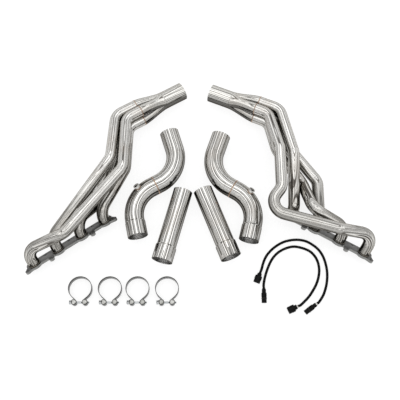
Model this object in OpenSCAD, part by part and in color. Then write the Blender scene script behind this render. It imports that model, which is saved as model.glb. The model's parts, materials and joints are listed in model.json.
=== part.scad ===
// Exhaust kit laid out on the floor: two four-tube headers, two S-pipes, two straight pipes,
// four band clamps and two sensor extension cables. Millimetres, +Z up, the floor is z = 0.
// +X is to the right and +Y is away from a person standing in front of the kit.

/* [Primary tubes] */
// Outside diameter of a primary tube
primary_od = 44.5; // [41:0.5:44.5]
// Wall of a primary tube
primary_wall = 1.6; // [1.2:0.1:2.5]
// Centreline radius of the primary bends
primary_bend_r = 51; // [46:1:52]
// Gap between neighbouring primaries at the collector
primary_gap = 1; // [0.5:0.25:3]

/* [Head flanges] */
// Distance from port to port
port_pitch = 102; // [98:1:106]
// Thickness of a head flange
flange_t = 10; // [8:0.5:14]
// Radius of the flange round each port
port_boss_r = 31; // [29:0.5:34]
// Height of the bar that joins the ports
flange_bar_h = 44; // [36:1:56]
// Diameter of the head bolt holes
head_bolt_d = 9; // [7:0.5:11]
// Radius of the ear round each bolt hole
ear_r = 10; // [8:0.5:12]
// Distance of the front bolt holes from the line of the ports
ear_reach = 33; // [32:0.5:40]
// Distance of the two front bolt holes from the flange's middle
front_ear_x = 88; // [80:1:96]
// Distance of the two end bolt holes from the flange's middle
end_ear_x = 186; // [182:1:196]
// Distance of the end bolt holes from the line of the ports
end_ear_reach = 24; // [18:1:30]
// Distance of the back bolt holes from the line of the ports
back_hole_reach = 11; // [6:0.5:13]
// Depth of the socket that each primary sits in
socket_depth = 5; // [3:0.5:7]
// Radial clearance of a primary in its socket
socket_gap = 0.15; // [0.1:0.05:0.4]

/* [Collectors] */
// Length of the four-into-one merge
collector_l = 110; // [90:1:140]
// Wall of the merge and of its outlet
collector_wall = 1.6; // [1.2:0.1:2.5]
// Outside diameter of the collector outlet
outlet_od = 70; // [64:0.5:74]
// Length of the collector outlet
outlet_l = 90; // [80:1:120]
// Length of the spike between the four inlets
spike_l = 45; // [25:1:70]

/* [S-pipes and straight pipes] */
// Wall of the pipes
pipe_wall = 1.5; // [1.2:0.1:2.5]
// Radial clearance of every slip joint
slip_gap = 0.2; // [0.1:0.05:0.5]
// Centreline radius of the S-pipe bends
pipe_bend_r = 122; // [95:1:124]
// Straight inlet leg of an S-pipe
s_inlet_l = 77; // [70:1:100]
// First bend of an S-pipe, in degrees
s_first_bend = 78; // [60:1:85]
// Straight length between the two bends
s_middle_l = 34; // [30:1:70]
// Second bend of an S-pipe, in degrees
s_second_bend = 73; // [55:1:85]
// Plain part of an S-pipe's outlet leg
s_outlet_l = 5; // [4:1:30]
// Length of an expanded slip end
slip_l = 55; // [40:1:70]
// Length of the cone from the pipe to its expanded end
slip_cone_l = 4; // [3:0.5:10]
// Overall length of a straight pipe
straight_l = 287; // [220:1:360]
// Width of the relief slot in a straight pipe's expanded end
slot_w = 3; // [2:0.5:5]
// Length of the relief slot
slot_l = 30; // [20:1:36]
// Outside diameter of the exhaust pipe that a straight pipe's end takes
tail_od = 76.2; // [70:0.1:80]

/* [Sensor bungs] */
// Outside diameter of a sensor bung
bung_od = 24; // [22:0.5:30]
// Diameter of the bung's threaded bore
bung_bore_d = 16.5; // [12:0.5:18]
// Height of the bung above the pipe
bung_h = 11; // [8:0.5:20]
// Place of the bung along the second bend, in degrees
bung_turn = 20; // [12:1:40]
// Upward lean of the bung's axis, in degrees
bung_lift = 50; // [30:1:60]

/* [Band clamps] */
// Width of a clamp band
band_w = 28; // [24:0.5:32]
// Thickness of a clamp band
band_t = 2; // [1.5:0.1:2.5]
// Radial room between an open clamp and an expanded pipe end
clamp_room = 2; // [0.5:0.1:2.5]
// Angle from the ring's side to where the band leaves it, in degrees
band_leave = 48; // [42:1:50]
// Distance from the clamp's middle to its bolt
bolt_drop = 52; // [50:0.5:55]
// Radius of a barrel
barrel_r = 8; // [7:0.1:8.5]
// Clearance of a barrel in its loop
barrel_gap = 0.2; // [0.1:0.05:0.4]
// Diameter of a clamp bolt
bolt_d = 8; // [6:0.5:8]
// Hexagon of the bolt head, across its flats
bolt_hex = 14; // [12:0.5:14]
// Height of the bolt head
bolt_head_l = 6.5; // [4:0.5:8]
// Length of the spacer under the bolt head
spacer_l = 6; // [3:0.5:9]
// Outside diameter of the spacer
spacer_od = 17; // [15:0.5:18]
// Length of the bolt past the threaded barrel
bolt_tail = 5; // [2:0.5:10]

/* [Sensor cables] */
// Diameter of a sensor cable
cable_d = 10; // [8:0.5:11]
// Width of a socket connector
socket_w = 25; // [23:0.5:32]
// Height of a socket connector
socket_h = 19; // [17:0.5:24]
// Length of a socket connector
socket_l = 25; // [24:1:36]
// Length of the narrow shoulder behind a socket
shoulder_l = 9; // [6:0.5:14]
// Depth of the socket's mouth
mouth_depth = 18; // [14:1:20]
// Wall round the socket's mouth
mouth_wall = 2.5; // [2:0.1:3.5]
// Width of a plug connector
plug_w = 19; // [17:0.5:22]
// Height of a plug connector
plug_h = 15; // [14:0.5:18]
// Length of a plug's body
plug_l = 28; // [22:1:36]
// Length of a plug's nose
nose_l = 22; // [18:1:28]
// Length of the rubber boot behind a connector
boot_l = 5; // [4:0.5:10]
// Wall of the boot round the cable
boot_wall = 1; // [0.8:0.1:2.5]

/* [Hidden] */
LEFT = 0;
RIGHT = 1;
SIDES = ["left", "right"];
PRIMARIES = [1, 2, 3, 4];
CLAMPS = [1, 2, 3, 4];
CABLES = [1, 2];
// Black moulded plastic, and the boots of the two cables: one of each cable is pale
MOULDED = [0.07, 0.07, 0.07];
SOCKET_BOOT_COLORS = ["black", "whitesmoke"];
PLUG_BOOT_COLORS = ["whitesmoke", "black"];
$fn = 64;

// Where the kit's middle lies in the coordinates that the layout below is written in
kit_middle = [-0.04, 33.46, 0];

// Headers: the flange's middle, its turn on the floor and the lift of its tube side
flange_at = [[-491, -177.5], [481, -146]];
flange_turn = [33.5, -29];
flange_lift = 48;
// Collectors: the middle of the inlets, the outlet's heading and dip, and the lean of the tube bundle
collector_at = [[-241, 350], [226, 365]];
collector_turn = [31.5, 156];
collector_dip = 4;
bundle_lean = [18, 24];
near_sign = [1, -1];
// Inlet of each primary, as steps towards the near side and the top of the bundle
inlet_step = [
    [[0, 1], [-1, 0], [0, -1], [1, 0]],
    [[-1, 0], [0, -1], [1, 0], [0, 1]]
];
// Straight reach of each primary, from the flange to its first bend's corner
stub_reach = [[62, 52, 60, 41], [32, 40, 58, 86]];
// Straight reach of each primary, from the collector to its last bend's corner
lead_reach = [[64, 88, 90, 68], [86, 82, 62, 54]];
// Corners between those two, as x, y and the layer of tubes above the floor
corners = [
    [
        [[-493, -178, 2.6], [-290, 85, 2.3]],
        [[-341, 138, 1.7]],
        [[-400, -30, 0.1], [-338, 155, 0.05]],
        [[-290, 114, 0.5]]
    ],
    [
        [[360, 160, 1.6]],
        [[455, 65, 0.15], [345, 215, 0.1]],
        [[420, -75, 2.1], [395, 60, 0.12], [300, 190, 0.6]],
        [[510, -160, 2.5], [240, -85, 2.6], [305, 5, 2.35], [305, 170, 2.05]]
    ]
];

// Pipes: the middle of the inlet end, the heading there and the side of the first bend
s_at = [[-122.5, 270], [84, 257]];
s_turn = [-73, -108.6];
s_side = [-1, 1];
straight_at = [[-65, 22], [10.5, 26]];
straight_turn = [-105.5, -68.5];

// Clamps: the middles of the four rings
clamp_at = [[-443, -355], [-333, -355], [-231, -355], [-122, -355]];

// Cables: the floor points of each route, from its socket to its plug
cable_floor = [
    [
        [225, -293], [231, -278], [237, -257], [247, -233], [262, -212], [286, -190], [320, -171],
        [362, -163], [400, -168], [430, -185], [450, -204], [464, -228], [472, -255], [476, -284],
        [475, -314], [469, -345], [458, -375], [449, -390], [439, -404], [431, -410]
    ],
    [
        [360, -420], [371, -415], [387, -400], [404, -382], [420, -359], [434, -334], [443, -308],
        [447, -281], [444, -253], [434, -229], [416, -209], [388, -196], [355, -190], [322, -198],
        [292, -216], [270, -242], [254, -275], [243, -308], [237, -337], [237, -351]
    ]
];

// Joints of the tubes: the weld gap, the seam that bridges it, and how far the seam stays out of the bore
weld_gap = 0.2;
seam_rise = 0.15;
seam_in = 0.4;
seam_root = 0.2;
// Straight lip at each end of a merge, and how far a cut runs past what it cuts
lip = 2;
past = 1;

primary_pitch = primary_od + primary_gap;
bundle_r = primary_pitch / sqrt(2);
pipe_od = outlet_od + 2 * slip_gap + 2 * pipe_wall;
slip_od = pipe_od + 2 * slip_gap + 2 * pipe_wall;
tail_slip_od = tail_od + 2 * slip_gap + 2 * pipe_wall;
pipe_z = slip_od / 2;
straight_z = tail_slip_od / 2;
clamp_r = tail_slip_od / 2 + clamp_room;
band_mid_r = clamp_r + band_t / 2;
loop_r = barrel_r + barrel_gap;
loop_mid_r = loop_r + band_t / 2;
cable_r = cable_d / 2;
boot_r = cable_r + boot_wall;

function unit(v) = v / norm(v);
function plan(angle) = [cos(angle), sin(angle), 0];
function place(f) = [
    [f[1][0], f[2][0], f[3][0], f[0][0]],
    [f[1][1], f[2][1], f[3][1], f[0][1]],
    [f[1][2], f[2][2], f[3][2], f[0][2]]
];
// A frame is an origin and its X, Y and Z directions
function frame_along(origin, z) =
    let (x = unit(cross(abs(z[2]) < 0.9 ? [0, 0, 1] : [1, 0, 0], z)))
    [origin, x, cross(z, x), z];
function layer_z(layer) = primary_od / 2 + seam_rise + layer * primary_pitch;

// Header frames: the flange stands on its back edge, and the lowest primary lies on the floor
flange_z = port_boss_r * cos(flange_lift) + flange_t * sin(flange_lift);
function flange_normal(s) =
    [-sin(flange_turn[s]) * cos(flange_lift), cos(flange_turn[s]) * cos(flange_lift), sin(flange_lift)];
function flange_frame(s) =
    let (x = plan(flange_turn[s]), z = flange_normal(s))
    [[flange_at[s][0], flange_at[s][1], flange_z], x, cross(z, x), z];
function port_x(i) = (i - 2.5) * port_pitch;
function port(s, i) = flange_frame(s)[0] + plan(flange_turn[s]) * port_x(i);
function collector_axis(s) = plan(collector_turn[s]) * cos(collector_dip) - [0, 0, sin(collector_dip)];
function bundle_up(s) = plan(collector_turn[s]) * sin(collector_dip) + [0, 0, cos(collector_dip)];
function bundle_near(s) = near_sign[s] * plan(collector_turn[s] - 90);
function bundle_top(s) = bundle_up(s) * cos(bundle_lean[s]) + bundle_near(s) * sin(bundle_lean[s]);
function bundle_side(s) = bundle_near(s) * cos(bundle_lean[s]) - bundle_up(s) * sin(bundle_lean[s]);
function collector_middle(s) =
    [collector_at[s][0], collector_at[s][1], layer_z(0) + bundle_r * cos(bundle_lean[s])];
function collector_frame(s) =
    [collector_middle(s), cross(bundle_top(s), collector_axis(s)), bundle_top(s), collector_axis(s)];
function inlet(s, i) =
    let (step = inlet_step[s][i - 1])
    collector_middle(s) + (bundle_side(s) * step[0] + bundle_top(s) * step[1]) * bundle_r;
function primary_route(s, i) = concat(
    [port(s, i) - flange_normal(s) * socket_depth],
    [port(s, i) + flange_normal(s) * stub_reach[s][i - 1]],
    [for (c = corners[s][i - 1]) [c[0], c[1], layer_z(c[2])]],
    [inlet(s, i) - collector_axis(s) * lead_reach[s][i - 1]],
    [inlet(s, i)]
);

// S-pipe corners, from the inlet end to the plain end of the outlet leg
s_first_trim = pipe_bend_r * tan(s_first_bend / 2);
s_second_trim = pipe_bend_r * tan(s_second_bend / 2);
function s_heading(s, leg) =
    plan(s_turn[s] + (leg > 0 ? s_side[s] * s_first_bend : 0) - (leg > 1 ? s_side[s] * s_second_bend : 0));
function s_inlet(s) = [s_at[s][0], s_at[s][1], pipe_z];
function s_first_corner(s) = s_inlet(s) + s_heading(s, 0) * (s_inlet_l + s_first_trim);
function s_weld(s) = s_first_corner(s) + s_heading(s, 1) * (s_first_trim + s_middle_l / 2);
function s_second_corner(s) = s_weld(s) + s_heading(s, 1) * (s_middle_l / 2 + s_second_trim);
function s_plain_end(s) = s_second_corner(s) + s_heading(s, 2) * (s_second_trim + s_outlet_l);
function s_lower_route(s) = [s_weld(s), s_second_corner(s), s_plain_end(s)];

// Routes with round bends
function heading(route, i) = unit(route[i + 1] - route[i]);
function has_bend(route, i) = i > 0 && i < len(route) - 1;
function bend_angle(route, i) = has_bend(route, i) ? acos(heading(route, i - 1) * heading(route, i)) : 0;
function bend_trim(route, i, bend_r) = bend_r * tan(bend_angle(route, i) / 2);
function joint_gap(route, i) = has_bend(route, i) ? weld_gap : 0;
function bend_start(route, i, bend_r) = route[i] - heading(route, i - 1) * bend_trim(route, i, bend_r);
function bend_end(route, i, bend_r) = route[i] + heading(route, i) * bend_trim(route, i, bend_r);
function bend_frame(route, i, bend_r) =
    let (
        y = heading(route, i - 1),
        z = unit(cross(y, heading(route, i))),
        inward = cross(z, y)
    )
    [bend_start(route, i, bend_r) + inward * bend_r, -inward, y, z];

// Sensor bung: its foot on the pipe's centreline and its axis
function bung_out(s) =
    let (f = bend_frame(s_lower_route(s), 1, pipe_bend_r))
    f[1] * cos(bung_turn) + f[2] * sin(bung_turn);
function bung_foot(s) = bend_frame(s_lower_route(s), 1, pipe_bend_r)[0] + bung_out(s) * pipe_bend_r;
function bung_axis(s) = bung_out(s) * cos(bung_lift) + [0, 0, sin(bung_lift)];
function bung_frame(s) = frame_along(bung_foot(s), bung_axis(s));

// Band clamps: where the band leaves its ring, and the barrels
band_leave_at = band_mid_r * [cos(band_leave), -sin(band_leave)];
band_heading = [-sin(band_leave), -cos(band_leave)];
band_outward = [cos(band_leave), -sin(band_leave)];
strip_l = (bolt_drop + band_leave_at[1] + loop_mid_r * band_outward[1]) / cos(band_leave);
barrel_x = (band_leave_at + band_heading * strip_l + band_outward * loop_mid_r)[0];
strip_slim = 0.2;
strip_in = 2;
barrel_cut = 1.5;
barrel_flat = barrel_r - barrel_cut;
bolt_clearance = 0.3;
thread_clearance = 0.08;
window_room = 0.7;
spacer_x = -barrel_x - barrel_flat - spacer_l;
bolt_tip_x = barrel_x + loop_mid_r + band_t / 2 + bolt_tail;
bolt_chamfer = 1;
shank_l = bolt_tip_x - spacer_x + past;

// Sensor cables: a smooth curve through the route's points
ends_level = 2;
cable_sides = 8;
cable_steps = 2;
function cable_z(k, i) =
    i < ends_level ? socket_h / 2
    : i >= len(cable_floor[k - 1]) - ends_level ? plug_h / 2
    : cable_r;
function cable_point(k, i) = [cable_floor[k - 1][i][0], cable_floor[k - 1][i][1], cable_z(k, i)];
function cable_route(k) = [for (i = [0:len(cable_floor[k - 1]) - 1]) cable_point(k, i)];
function curve_at(p, i, t) =
    let (
        a = p[max(i - 1, 0)],
        b = p[i],
        c = p[i + 1],
        d = p[min(i + 2, len(p) - 1)],
        u = i == 0 ? c - b : (c - a) / 2,
        v = i == len(p) - 2 ? c - b : (d - b) / 2
    )
    let (
        curve = (2 * t ^ 3 - 3 * t ^ 2 + 1) * b + (t ^ 3 - 2 * t ^ 2 + t) * u
            + (3 * t ^ 2 - 2 * t ^ 3) * c + (t ^ 3 - t ^ 2) * v
    )
    [curve[0], curve[1], b[2] + (c[2] - b[2]) * t];
function smooth_route(p) = concat(
    [for (i = [0:len(p) - 2]) for (j = [0:cable_steps - 1]) curve_at(p, i, j / cable_steps)],
    [p[len(p) - 1]]
);
function route_heading(p, i) = unit(p[min(i + 1, len(p) - 1)] - p[max(i - 1, 0)]);
function socket_frame(k) =
    let (p = cable_route(k), x = unit(p[0] - p[1]))
    [p[0], x, cross([0, 0, 1], x), [0, 0, 1]];
function plug_frame(k) =
    let (p = cable_route(k), n = len(p), x = unit(p[n - 1] - p[n - 2]))
    [p[n - 1], x, cross([0, 0, 1], x), [0, 0, 1]];

// Connectors
corner_r = 3;
inner_corner_r = 2;
groove_corner_r = 1.4;
nose_corner_r = 1;
shoulder_step = 8;
neck_l = 14;
neck_w = plug_w - 4;
neck_h = plug_h - 2;
nose_w = plug_w - 1;
nose_h = plug_h - 3;
nose_wall = 1.6;
nose_depth = 14;
seal_at = 7;
seal_w = 3;
seal_rise = 0.9;
groove_depth = 0.6;
pin_w = 1.5;
pin_l = 10;
pin_pitch = [6, 5];
rib_w = 2;
rib_rise = 1;
rib_count = 3;
latch_w = 9;
latch_t = 2;
latch_l = 20;
latch_pivot_r = 1.4;
latch_room = 0.3;
latch_ear_w = 2;
latch_ear_l = 5;
latch_ear_y = latch_w / 2 + latch_room + latch_ear_w / 2;
latch_ear_h = latch_room + 2 * latch_pivot_r;
pivot_clearance = 0.06;
latch_base = 1.2;
lock_ramp_l = 6;
lock_ramp_h = 1.6;

// Shared shapes

module in_kit(frame) {
    translate(-kit_middle) multmatrix(place(frame)) children();
}

module pipe_section(od, wall) {
    difference() {
        circle(d = od);
        circle(d = od - 2 * wall);
    }
}

module pipe_run(length, od, wall) {
    linear_extrude(length) pipe_section(od, wall);
}

// Short raised ring that joins two tube ends across their weld gap
module seam(origin, direction, od, wall) {
    in_kit(frame_along(origin - direction * (seam_in + weld_gap / 2), direction))
        pipe_run(2 * seam_in + weld_gap, od + 2 * seam_rise, wall + seam_rise - seam_root);
}

module tube_bend(route, i, od, wall, bend_r) {
    in_kit(bend_frame(route, i, bend_r))
        rotate_extrude(angle = bend_angle(route, i)) translate([bend_r, 0]) pipe_section(od, wall);
}

module tube_straight(route, i, od, wall, bend_r) {
    direction = heading(route, i);
    from = bend_trim(route, i, bend_r) + joint_gap(route, i);
    to = norm(route[i + 1] - route[i]) - bend_trim(route, i + 1, bend_r) - joint_gap(route, i + 1);
    in_kit(frame_along(route[i] + direction * from, direction)) pipe_run(to - from, od, wall);
}

// Tube along a route, as straights and bends that are joined by seams
module bent_tube(route, od, wall, bend_r) {
    for (i = [0:len(route) - 2])
        tube_straight(route, i, od, wall, bend_r);
    for (i = [1:len(route) - 2]) {
        tube_bend(route, i, od, wall, bend_r);
        before = heading(route, i - 1);
        after = heading(route, i);
        seam(bend_start(route, i, bend_r) - before * weld_gap / 2, before, od, wall);
        seam(bend_end(route, i, bend_r) + after * weld_gap / 2, after, od, wall);
    }
}

// Pipe that widens into an expanded end, from z = 0
module slip_pipe(plain_l, end_od) {
    inner = pipe_od / 2 - pipe_wall;
    slip_inner = end_od / 2 - pipe_wall;
    cone_end = plain_l + slip_cone_l;
    rotate_extrude() polygon([
        [inner, 0],
        [pipe_od / 2, 0],
        [pipe_od / 2, plain_l],
        [end_od / 2, cone_end],
        [end_od / 2, cone_end + slip_l],
        [slip_inner, cone_end + slip_l],
        [slip_inner, cone_end],
        [inner, plain_l]
    ]);
}

module rounded_section(w, h, r) {
    square([w - 2 * r, h], center = true);
    square([w, h - 2 * r], center = true);
    for (x = [-1, 1]) for (y = [-1, 1])
        translate([x * (w / 2 - r), y * (h / 2 - r)]) circle(r = r);
}

// Block along X with rounded long edges, from x = 0
module rounded_block(length, w, h, r) {
    rotate([90, 0, 90]) linear_extrude(length) rounded_section(w, h, r);
}

// Headers

// Base of an end ear inside its port boss, base of a front ear beside its bolt hole, and how much slimmer
// than its round end the taper of an ear is
end_ear_inset = 4;
front_ear_spread = 5;
ear_slim = 0.3;

// Ear that tapers from its base on the port line to the round end at a bolt hole
module flange_ear(base_x, base_half, at) {
    direction = unit(at - [base_x, 0]);
    across = [-direction[1], direction[0]];
    translate(at) circle(r = ear_r);
    polygon([
        [base_x, 0] + across * base_half,
        [base_x, 0] - across * base_half,
        at - across * (ear_r - ear_slim),
        at + across * (ear_r - ear_slim)
    ]);
}

// Bolt holes: two in front, one at each end and three in the bar
function bolt_holes() = concat(
    [for (e = [-1, 1]) [e * front_ear_x, -ear_reach]],
    [for (e = [-1, 1]) [e * end_ear_x, -end_ear_reach]],
    [for (e = [-1:1]) [e * port_pitch, back_hole_reach]]
);
function has_ear(at) = at[1] < 0;
function ear_base(at) = abs(at[0]) > port_x(4) ? sign(at[0]) * port_x(4) : at[0];
function ear_base_half(at) =
    abs(at[0]) > port_x(4) ? port_boss_r - end_ear_inset : ear_r + front_ear_spread;

module flange_outline() {
    square([port_x(4) - port_x(1), flange_bar_h], center = true);
    for (i = PRIMARIES)
        translate([port_x(i), 0]) circle(r = port_boss_r);
    for (at = bolt_holes())
        if (has_ear(at)) flange_ear(ear_base(at), ear_base_half(at), at);
}

module head_flange(s) {
    color("dimgray") in_kit(flange_frame(s)) difference() {
        translate([0, 0, -flange_t]) linear_extrude(flange_t) flange_outline();
        for (i = PRIMARIES) translate([port_x(i), 0, 0]) {
            translate([0, 0, -socket_depth])
                cylinder(d = primary_od + 2 * socket_gap, h = socket_depth + past);
            translate([0, 0, -flange_t - past])
                cylinder(d = primary_od - 2 * primary_wall, h = flange_t + 2 * past);
        }
        for (at = bolt_holes())
            translate([at[0], at[1], -flange_t - past])
                cylinder(d = head_bolt_d, h = flange_t + 2 * past);
    }
}

module primary(s, i) {
    color("silver") bent_tube(primary_route(s, i), primary_od, primary_wall, primary_bend_r);
}

// Facets of a merge lobe, and the tip radius of the spike
lobe_sides = 48;
spike_tip_r = 1;

// One lobe of the merge, from an inlet to the outlet
module merge_lobe(step, inlet_d, outlet_d, overrun) {
    hull() {
        translate([step[0] * bundle_r, step[1] * bundle_r, -overrun])
            cylinder(d = inlet_d, h = lip + overrun);
        translate([0, 0, collector_l - lip]) cylinder(d = outlet_d, h = lip + overrun);
    }
}

module collector(s) {
    steps = inlet_step[s];
    inner_inlet_d = primary_od - 2 * collector_wall;
    inner_outlet_d = outlet_od - 2 * collector_wall;
    color("lightgray") in_kit(collector_frame(s)) difference() {
        union() {
            for (step = steps) merge_lobe(step, primary_od, outlet_od, 0, $fn = lobe_sides);
            rotate(45) cylinder(r1 = primary_pitch / 2, r2 = spike_tip_r, h = spike_l, $fn = 4);
        }
        for (step = steps)
            merge_lobe(step, inner_inlet_d, inner_outlet_d, past, $fn = lobe_sides);
    }
}

module collector_outlet(s) {
    color("silver") in_kit(collector_frame(s))
        translate([0, 0, collector_l]) pipe_run(outlet_l, outlet_od, collector_wall);
}

// Pipes

module s_pipe_upper(s) {
    color("silver")
        bent_tube([s_inlet(s), s_first_corner(s), s_weld(s)], pipe_od, pipe_wall, pipe_bend_r);
}

module s_pipe_lower(s) {
    end = s_plain_end(s);
    direction = s_heading(s, 2);
    color("silver") difference() {
        union() {
            bent_tube(s_lower_route(s), pipe_od, pipe_wall, pipe_bend_r);
            seam(end + direction * weld_gap / 2, direction, pipe_od, pipe_wall);
            in_kit(frame_along(end + direction * weld_gap, direction)) slip_pipe(lip, slip_od);
        }
        in_kit(bung_frame(s)) cylinder(d = bung_bore_d, h = pipe_od);
    }
}

module sensor_bung(s) {
    color("lightsteelblue") difference() {
        in_kit(bung_frame(s)) difference() {
            cylinder(d = bung_od, h = pipe_od / 2 + bung_h);
            translate([0, 0, -past]) cylinder(d = bung_bore_d, h = pipe_od / 2 + bung_h + 2 * past);
        }
        in_kit(bend_frame(s_lower_route(s), 1, pipe_bend_r))
            rotate([0, 0, -90]) rotate_extrude(angle = 180)
                translate([pipe_bend_r, 0]) circle(d = pipe_od);
    }
}

module straight_pipe(s) {
    at = [straight_at[s][0], straight_at[s][1], straight_z];
    color("silver") in_kit(frame_along(at, plan(straight_turn[s]))) difference() {
        slip_pipe(straight_l - slip_l - slip_cone_l, tail_slip_od);
        translate([-slot_w / 2, 0, straight_l - slot_l])
            cube([slot_w, tail_slip_od, slot_l + past]);
    }
}

// Band clamps

module at_clamp(k) {
    translate(-kit_middle) translate([clamp_at[k - 1][0], clamp_at[k - 1][1], 0]) children();
}

// Turns a shape that is drawn up the Z axis to lie along the bolt
module along_bolt(x) {
    translate([x, -bolt_drop, band_w / 2]) rotate([0, 90, 0]) children();
}

// Straight strip and loop at the right-hand end of the band
module band_end() {
    start = band_leave_at - band_heading * strip_in;
    translate(start) rotate(-90 - band_leave) translate([0, -(band_t - strip_slim) / 2])
        square([strip_l + 2 * strip_in, band_t - strip_slim]);
    translate([barrel_x, -bolt_drop]) pipe_section(2 * loop_r + 2 * band_t, band_t);
}

module band_outline() {
    reach = 2 * clamp_r;
    difference() {
        pipe_section(2 * clamp_r + 2 * band_t, band_t);
        polygon([[0, 0], reach * [cos(band_leave), -sin(band_leave)], [0, -2 * reach],
            reach * [-cos(band_leave), -sin(band_leave)]]);
    }
    band_end();
    mirror([1, 0]) band_end();
}

module clamp_band(k) {
    color("gray") at_clamp(k) difference() {
        linear_extrude(band_w) band_outline();
        along_bolt(-barrel_x - 2 * barrel_r)
            cylinder(d = spacer_od + 2 * window_room, h = 2 * barrel_r);
        along_bolt(-barrel_x)
            cylinder(d = bolt_d + 2 * window_room, h = 2 * barrel_x + 2 * barrel_r);
    }
}

module plain_barrel(k) {
    color("silver") at_clamp(k) difference() {
        translate([-barrel_x, -bolt_drop, 0]) cylinder(r = barrel_r, h = band_w);
        along_bolt(-barrel_x - 2 * barrel_r)
            cylinder(d = bolt_d + 2 * bolt_clearance, h = 4 * barrel_r);
        translate([-barrel_x - 2 * barrel_r - barrel_flat, -bolt_drop - barrel_r, -past])
            cube([2 * barrel_r, 2 * barrel_r, band_w + 2 * past]);
    }
}

module threaded_barrel(k) {
    color("silver") at_clamp(k) difference() {
        translate([barrel_x, -bolt_drop, 0]) cylinder(r = barrel_r, h = band_w);
        along_bolt(barrel_x - 2 * barrel_r)
            cylinder(d = bolt_d + 2 * thread_clearance, h = 4 * barrel_r);
    }
}

module clamp_bolt(k) {
    color("gainsboro") at_clamp(k) {
        along_bolt(spacer_x - bolt_head_l)
            cylinder(d = bolt_hex / cos(30), h = bolt_head_l, $fn = 6);
        along_bolt(spacer_x - past) rotate_extrude() polygon([
            [0, 0],
            [bolt_d / 2, 0],
            [bolt_d / 2, shank_l - bolt_chamfer],
            [bolt_d / 2 - bolt_chamfer, shank_l],
            [0, shank_l]
        ]);
    }
}

module clamp_spacer(k) {
    color("white") at_clamp(k) along_bolt(spacer_x)
        pipe_run(spacer_l, spacer_od, (spacer_od - bolt_d) / 2 - bolt_clearance);
}

// Sensor cables

module swept_cable(route) {
    count = len(route);
    points = [
        for (i = [0:count - 1])
            let (f = frame_along(route[i], route_heading(route, i)))
            for (j = [0:cable_sides - 1])
                let (a = (j + 0.5) * 360 / cable_sides)
                f[0] + cable_r / cos(180 / cable_sides) * (f[1] * cos(a) + f[2] * sin(a))
    ];
    sides = [
        for (i = [0:count - 2]) for (j = [0:cable_sides - 1])
            let (a = i * cable_sides + j, b = i * cable_sides + (j + 1) % cable_sides)
            each [[a, b + cable_sides, b], [a, a + cable_sides, b + cable_sides]]
    ];
    first = [for (j = [1:cable_sides - 2]) [0, j, j + 1]];
    base = (count - 1) * cable_sides;
    last = [for (j = [1:cable_sides - 2]) [base, base + j + 1, base + j]];
    polyhedron(points, concat(sides, first, last));
}

module cable_lead(k) {
    color("black") translate(-kit_middle) swept_cable(smooth_route(cable_route(k)));
}

module boot() {
    rotate([0, 90, 0]) cylinder(r = boot_r, h = boot_l);
}

module cable_socket(k) {
    shoulder_w = socket_w - shoulder_step;
    shoulder_h = socket_h - shoulder_step / 2;
    mouth_w = socket_w - 2 * mouth_wall;
    mouth_h = socket_h - 2 * mouth_wall;
    color(MOULDED) in_kit(socket_frame(k)) translate([boot_l + shoulder_l, 0, 0]) difference() {
        union() {
            rounded_block(socket_l, socket_w, socket_h, corner_r);
            translate([-shoulder_l, 0, 0])
                rounded_block(shoulder_l + past, shoulder_w, shoulder_h, corner_r);
            for (i = [0:rib_count - 1]) for (side = [-1, 1])
                translate([rib_w + i * 2 * rib_w, side * socket_w / 2 - rib_rise, -socket_h / 4])
                    cube([rib_w, 2 * rib_rise, socket_h / 2]);
            for (side = [-1, 1])
                translate([socket_l / 2, side * latch_ear_y, socket_h / 2 + latch_ear_h / 2])
                    cube([latch_ear_l, latch_ear_w, latch_ear_h + 2 * past], center = true);
        }
        translate([socket_l / 2, socket_w / 2, socket_h / 2 + latch_room + latch_pivot_r]) rotate([90, 0, 0])
            cylinder(r = latch_pivot_r + pivot_clearance, h = socket_w);
        translate([socket_l - mouth_depth, 0, 0])
            rounded_block(mouth_depth + past, mouth_w, mouth_h, inner_corner_r);
    }
}

module cable_socket_boot(k) {
    color(SOCKET_BOOT_COLORS[k - 1]) in_kit(socket_frame(k)) boot();
}

// Latch lever on the socket's top, rocking on a short cross pin
module cable_latch(k) {
    base = [boot_l + shoulder_l, 0, socket_h / 2 + latch_room];
    color(MOULDED) in_kit(socket_frame(k)) translate(base) {
        translate([socket_l / 2 - latch_l / 2, -latch_w / 2, latch_pivot_r])
            cube([latch_l, latch_w, latch_t]);
        translate([socket_l / 2, latch_w / 2 + latch_ear_w, latch_pivot_r]) rotate([90, 0, 0])
            cylinder(r = latch_pivot_r, h = latch_w + 2 * latch_ear_w);
        translate([socket_l / 2 - latch_l / 2, -latch_w / 2, latch_pivot_r + latch_t - past])
            cube([rib_w * 2, latch_w, past + latch_base]);
    }
}

module cable_plug(k) {
    groove_w = nose_w - 2 * groove_depth;
    groove_h = nose_h - 2 * groove_depth;
    color(MOULDED) in_kit(plug_frame(k)) translate([boot_l, 0, 0]) difference() {
        union() {
            rounded_block(neck_l + past, neck_w, neck_h, corner_r);
            translate([neck_l, 0, 0]) rounded_block(plug_l - neck_l, plug_w, plug_h, corner_r);
            translate([plug_l - past, 0, 0]) rounded_block(nose_l + past, nose_w, nose_h, inner_corner_r);
            translate([plug_l - 2 * lock_ramp_l, -latch_w / 2, plug_h / 2 - past])
                cube([lock_ramp_l, latch_w, past + lock_ramp_h]);
        }
        translate([plug_l + nose_l - nose_depth, 0, 0])
            rounded_block(nose_depth + past, nose_w - 2 * nose_wall, nose_h - 2 * nose_wall, nose_corner_r);
        translate([plug_l + seal_at - seal_w, 0, 0]) difference() {
            rounded_block(seal_w, plug_w, plug_h, corner_r);
            translate([-past, 0, 0])
                rounded_block(seal_w + 2 * past, groove_w, groove_h, groove_corner_r);
        }
    }
}

module cable_plug_boot(k) {
    color(PLUG_BOOT_COLORS[k - 1]) in_kit(plug_frame(k)) boot();
}

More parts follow.
